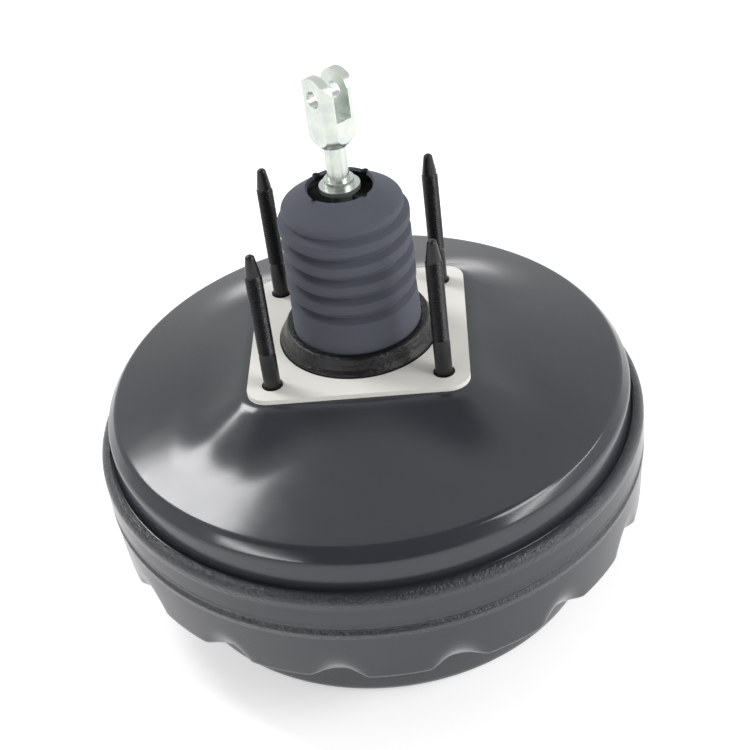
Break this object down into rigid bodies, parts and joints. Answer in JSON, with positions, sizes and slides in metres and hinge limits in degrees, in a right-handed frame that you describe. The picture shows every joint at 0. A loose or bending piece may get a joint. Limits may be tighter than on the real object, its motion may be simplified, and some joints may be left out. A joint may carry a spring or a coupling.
{
  "type": "vacuum brake booster",
  "caption": "Round single-diaphragm vacuum brake booster with pressed steel shells, ribbed dust boot, push rod with fork clevis, firewall studs and gasket, and a side vacuum port.",
  "frame": {"origin": "centre of the stud pattern on the face that lies against the firewall (outer face of the gasket)", "axes": "+Z along the push rod to the pedal, X along the stud pattern's 80 mm spacing, Y along its 76 mm spacing, vacuum port 7.7 degrees off +Y, between two flutes"},
  "size_m": [0.271, 0.3067, 0.2734],
  "materials": {
    "black_shell": "black semi-gloss e-coat on pressed steel",
    "black_steel": "black phosphated steel",
    "gasket_fibre": "cream pressed-fibre gasket sheet, matt",
    "boot_rubber": "dark blue-grey moulded rubber, satin",
    "seal_rubber": "black moulded rubber, matt",
    "plated_steel": "plain pressed steel",
    "zinc_steel": "bright zinc plate with a faint blue-green tint",
    "spring_steel": "oiled spring steel",
    "valve_plastic": "black moulded phenolic",
    "black_plastic": "black moulded plastic",
    "white_plastic": "natural acetal",
    "filter_foam": "dark open foam and felt"
  },
  "bodies": {
    "housing": {"rear_shell": "black_shell", "front_shell": "black_shell", "firewall_gasket": "gasket_fibre", "stud_plate": "plated_steel", "firewall_studs": "black_steel", "boot_retainer": "black_shell", "dust_boot": "boot_rubber", "rear_seal": "seal_rubber", "seal_retainer": "plated_steel", "neck_bush": "white_plastic", "front_plate": "plated_steel", "master_cylinder_studs": "black_steel", "front_seal": "seal_rubber", "check_valve_grommet": "seal_rubber", "check_valve_body": "black_plastic", "check_valve_seat": "black_plastic", "check_valve_spring": "spring_steel", "diaphragm": "seal_rubber", "return_spring": "spring_steel"},
    "power_piston": {"valve_body": "valve_plastic", "stop_key": "plated_steel", "reaction_disc": "seal_rubber", "output_rod": "zinc_steel", "output_screw": "zinc_steel", "output_retainer": "plated_steel", "poppet_valve": "seal_rubber", "poppet_retainer": "plated_steel", "poppet_spring": "spring_steel", "rod_spring": "spring_steel", "air_filter": "filter_foam", "filter_silencer": "filter_foam", "filter_seat": "black_plastic", "diaphragm_plate": "plated_steel"},
    "air_valve": {"valve_plunger": "zinc_steel"},
    "push_rod": {"input_rod": "zinc_steel", "rod_washer": "zinc_steel", "rod_collar": "zinc_steel", "clevis": "zinc_steel"},
    "check_disc": {"check_valve_disc": "seal_rubber"}
  },
  "joints": [
    {"name": "power_stroke", "type": "slide", "parent": "housing", "child": "power_piston", "axis": [0, 0, -1], "range_m": [0, 0.028], "stiffness_N_per_m": 5000, "springref_m": -0.03, "deforming": ["dust_boot", "return_spring", "diaphragm"]},
    {"name": "rod_travel", "type": "slide", "parent": "power_piston", "child": "air_valve", "axis": [0, 0, -1], "range_m": [0, 0.002], "stiffness_N_per_m": 3000, "springref_m": -0.01, "deforming": ["rod_spring"]},
    {"name": "rod_tilt", "type": "hinge", "parent": "air_valve", "child": "push_rod", "pos_m": [0, 0, -0.014], "axis": [0.7431, 0.6691, 0], "range_deg": [-2.5, 2.5], "stiffness_Nm_per_rad": 3},
    {"name": "check_lift", "type": "slide", "parent": "housing", "child": "check_disc", "axis": [0.134, 0.991, 0], "range_m": [0, 0.0012], "stiffness_N_per_m": 30, "springref_m": -0.003, "deforming": ["check_valve_spring"]}
  ]
}
